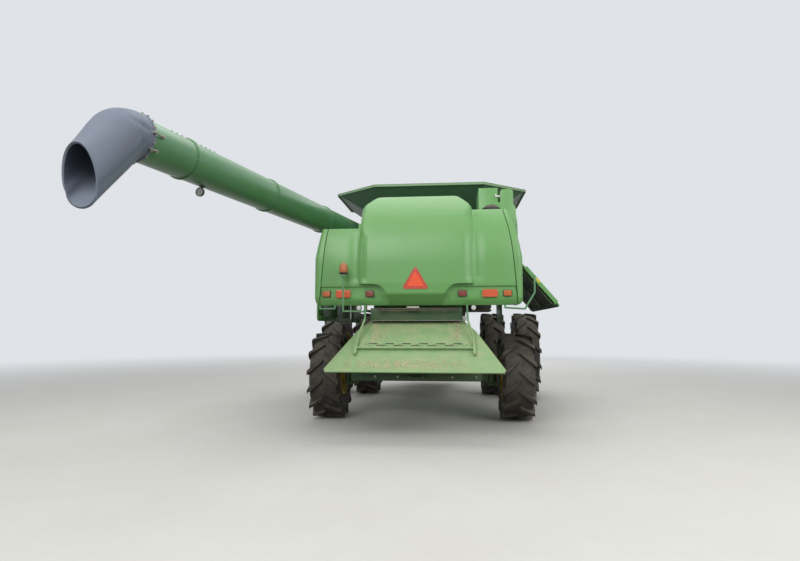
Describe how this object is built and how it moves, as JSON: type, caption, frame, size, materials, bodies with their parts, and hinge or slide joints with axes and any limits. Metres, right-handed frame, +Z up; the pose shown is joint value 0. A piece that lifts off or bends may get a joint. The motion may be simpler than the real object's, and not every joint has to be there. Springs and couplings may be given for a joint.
{
  "type": "combine harvester",
  "caption": "Combine harvester with a raised grain tank, swinging unloading auger, lifting feeder house, steered rear wheels and hinged side shields.",
  "frame": {"origin": "middle of the machine's footprint box at ground level, with the auger stored", "axes": "+Y forward along the line of travel, +X to the machine's right, +Z up"},
  "size_m": [5.739, 11.6667, 4.4],
  "materials": {
    "green": "gloss green paint, dusty",
    "dark_green": "dark green paint, dusty",
    "dusty_green": "green paint under straw dust",
    "yellow": "yellow wheel paint",
    "tyre": "dusty black rubber",
    "rubber": "dark grey rubber",
    "black": "satin black paint",
    "grey": "grey steel",
    "steel": "bright steel",
    "plastic": "black plastic",
    "roof": "green moulded plastic",
    "glass": "tinted glass",
    "seat": "dark grey cloth",
    "amber": "amber lens",
    "red": "red lens",
    "orange": "orange reflector"
  },
  "bodies": {
    "chassis": {"main_frame": "black", "separator_body": "green", "front_axle": "black", "rear_axle": "black", "upper_deck": "green", "side_panel_right": "green", "side_panel_left": "green", "lower_covers": "green", "grain_tank": "green", "tank_extension": "green", "rear_hood": "green", "engine": "black", "engine_cover": "green", "radiator_housing": "dark_green", "intake_and_exhaust": "black", "cab_frame": "green", "cab_glass": "glass", "cab_roof": "roof", "cab_seat": "seat", "steering_column": "plastic", "platform": "black", "handrails": "yellow", "mirrors": "plastic", "fuel_tank": "plastic", "auger_turret": "green", "auger_rest": "green", "chopper_housing": "grey", "tailboard": "dusty_green", "rear_beam": "dark_green", "lamps_amber": "amber", "reflectors": "orange", "lamps_red": "red", "triangle_sign": "orange", "beacon": "amber", "marker_tubes": "plastic", "side_drives": "black"},
    "knuckle_left": {"knuckle_left": "black"},
    "knuckle_right": {"knuckle_right": "black"},
    "front_wheel_left": {"front_tyres_left": "tyre", "front_rims_left": "yellow"},
    "rear_wheel_left": {"rear_tyre_left": "tyre", "rear_rim_left": "yellow"},
    "front_wheel_right": {"front_tyres_right": "tyre", "front_rims_right": "yellow"},
    "rear_wheel_right": {"rear_tyre_right": "tyre", "rear_rim_right": "yellow"},
    "rotary_screen": {"rotary_screen": "black"},
    "cab_door": {"cab_door": "black", "cab_door_glass": "glass"},
    "ladder": {"ladder": "black"},
    "feeder_house": {"feeder_house": "green", "feeder_chain": "steel"},
    "lift_barrels": {"lift_barrels": "black"},
    "lift_rods": {"lift_rods": "steel"},
    "auger": {"auger_tube": "green", "auger_spout": "rubber", "auger_lamp": "plastic"},
    "shield_left": {"shield_left": "green"},
    "shield_right": {"shield_right": "green"},
    "chopper_rotor": {"chopper_rotor": "steel"}
  },
  "joints": [
    {"name": "front_left_spin", "type": "hinge", "parent": "chassis", "child": "front_wheel_left", "pos_m": [-1.21048, 3.07336, 0.975], "axis": [1, 0, 0], "continuous": true},
    {"name": "front_right_spin", "type": "hinge", "parent": "chassis", "child": "front_wheel_right", "pos_m": [1.82952, 3.07336, 0.975], "axis": [1, 0, 0], "continuous": true},
    {"name": "steer_left", "type": "hinge", "parent": "chassis", "child": "knuckle_left", "pos_m": [-0.92048, -0.57664, 0.75], "axis": [0, 0, 1], "range_deg": [-32, 32]},
    {"name": "steer_right", "type": "hinge", "parent": "chassis", "child": "knuckle_right", "pos_m": [1.53952, -0.57664, 0.75], "axis": [0, 0, 1], "range_deg": [-32, 32]},
    {"name": "rear_left_spin", "type": "hinge", "parent": "knuckle_left", "child": "rear_wheel_left", "pos_m": [-1.34048, -0.57664, 0.75], "axis": [1, 0, 0], "continuous": true},
    {"name": "rear_right_spin", "type": "hinge", "parent": "knuckle_right", "child": "rear_wheel_right", "pos_m": [1.95952, -0.57664, 0.75], "axis": [1, 0, 0], "continuous": true},
    {"name": "feeder_lift", "type": "hinge", "parent": "chassis", "child": "feeder_house", "pos_m": [0.30952, 3.69336, 1.6], "axis": [1, 0, 0], "range_deg": [-4, 16]},
    {"name": "lift_barrel_swing", "type": "hinge", "parent": "chassis", "child": "lift_barrels", "pos_m": [0.30952, 3.30336, 0.62], "axis": [1, 0, 0], "range_deg": [-2.67, 10.07]},
    {"name": "lift_rod_slide", "type": "slide", "parent": "lift_barrels", "child": "lift_rods", "axis": [0, 0.9924, 0.1231], "range_m": [-0.0639, 0.2496]},
    {"name": "auger_swing", "type": "hinge", "parent": "chassis", "child": "auger", "pos_m": [-0.94048, 2.12336, 3.34], "axis": [0, 0, 1], "range_deg": [-85, 0]},
    {"name": "cab_door_swing", "type": "hinge", "parent": "chassis", "child": "cab_door", "pos_m": [-0.57748, 3.39936, 2.8], "axis": [0, 0, 1], "range_deg": [0, 85]},
    {"name": "ladder_swing", "type": "hinge", "parent": "chassis", "child": "ladder", "pos_m": [-1.34048, 4.52336, 2.02], "axis": [0, 0, 1], "range_deg": [-90, 0]},
    {"name": "shield_left_lift", "type": "hinge", "parent": "chassis", "child": "shield_left", "pos_m": [-1.28048, -0.52664, 2.64], "axis": [0, 1, 0], "range_deg": [0, 75]},
    {"name": "shield_right_lift", "type": "hinge", "parent": "chassis", "child": "shield_right", "pos_m": [1.89952, -0.52664, 2.64], "axis": [0, -1, 0], "range_deg": [-40, 35]},
    {"name": "rotary_screen_spin", "type": "hinge", "parent": "chassis", "child": "rotary_screen", "pos_m": [1.90952, -0.85664, 3.15], "axis": [1, 0, 0], "continuous": true},
    {"name": "chopper_spin", "type": "hinge", "parent": "chassis", "child": "chopper_rotor", "pos_m": [0.30952, -1.85664, 1.56], "axis": [1, 0, 0], "continuous": true}
  ],
  "couplings": [
    {"joint": "steer_right", "follows": "steer_left", "ratio": 1},
    {"joint": "lift_barrel_swing", "follows": "feeder_lift", "ratio": 0.6166},
    {"joint": "lift_rod_slide", "follows": "feeder_lift", "m_per_rad": 0.8868}
  ]
}
